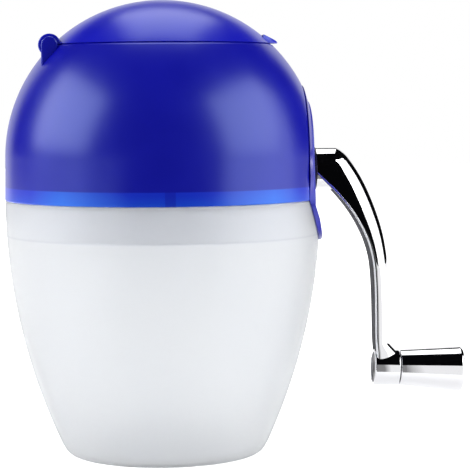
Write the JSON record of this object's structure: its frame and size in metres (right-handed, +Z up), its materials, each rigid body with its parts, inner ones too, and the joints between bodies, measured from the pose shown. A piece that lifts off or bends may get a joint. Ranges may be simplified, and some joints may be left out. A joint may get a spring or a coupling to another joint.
{
  "type": "hand-cranked ice crusher",
  "caption": "Egg-shaped hand-cranked ice crusher: blue lift-off upper half with hinged lid and bladed rotor, frosted catch bowl, chromed side crank with a turning cone grip.",
  "frame": {"origin": "middle of the bowl's flat base, on the egg's upright axis", "axes": "+Z up along the egg's axis, +X towards the crank, front towards -Y"},
  "size_m": [0.2409, 0.1644, 0.2364],
  "materials": {
    "bowl_frosted": "frosted clear, satin",
    "body_blue": "smooth translucent, satin gloss",
    "lid_blue": "smooth translucent, satin gloss",
    "shield_blue": "smooth, satin gloss",
    "frame_grey": "fine matte",
    "steel": "plain",
    "blade_steel": "stamped, ground edges",
    "bush_plastic": "natural acetal",
    "collar_dark": "satin",
    "chrome": "bright plated",
    "bolt_dark": "dark, satin",
    "cap_dark": "satin"
  },
  "bodies": {
    "bowl": {"bowl": "bowl_frosted"},
    "head": {"housing": "body_blue", "crank_shield": "shield_blue", "crusher_frame": "frame_grey", "frame_screws": "steel", "fixed_comb": "blade_steel", "comb_screws": "steel", "crank_side_bush": "bush_plastic", "far_side_bush": "bush_plastic", "lid_hinge_pin": "steel"},
    "lid": {"lid": "lid_blue"},
    "crank": {"rotor_shaft": "steel", "rotor_blade_1": "blade_steel", "rotor_blade_2": "blade_steel", "rotor_blade_3": "blade_steel", "rotor_blade_4": "blade_steel", "rotor_blade_5": "blade_steel", "rotor_blade_6": "blade_steel", "blade_spacers": "steel", "shaft_washer": "steel", "shaft_clip": "steel", "shaft_collar": "collar_dark", "crank_arm": "chrome", "grip_bolt": "bolt_dark", "grip_washer": "steel", "grip_screw": "steel"},
    "grip": {"grip": "chrome", "grip_cap": "cap_dark"}
  },
  "joints": [
    {"name": "head_lift", "type": "slide", "parent": "bowl", "child": "head", "axis": [0, 0, 1], "range_m": [0, 0.06]},
    {"name": "lid_hinge", "type": "hinge", "parent": "head", "child": "lid", "pos_m": [-0.0579, 0, 0.213], "axis": [0, -1, 0], "range_deg": [0, 110]},
    {"name": "crank_turn", "type": "hinge", "parent": "head", "child": "crank", "pos_m": [0.08, 0, 0.1481], "axis": [1, 0, 0], "continuous": true},
    {"name": "grip_turn", "type": "hinge", "parent": "crank", "child": "grip", "pos_m": [0.1107, 0, 0.0424], "axis": [0.9992, 0, -0.0401], "continuous": true}
  ]
}
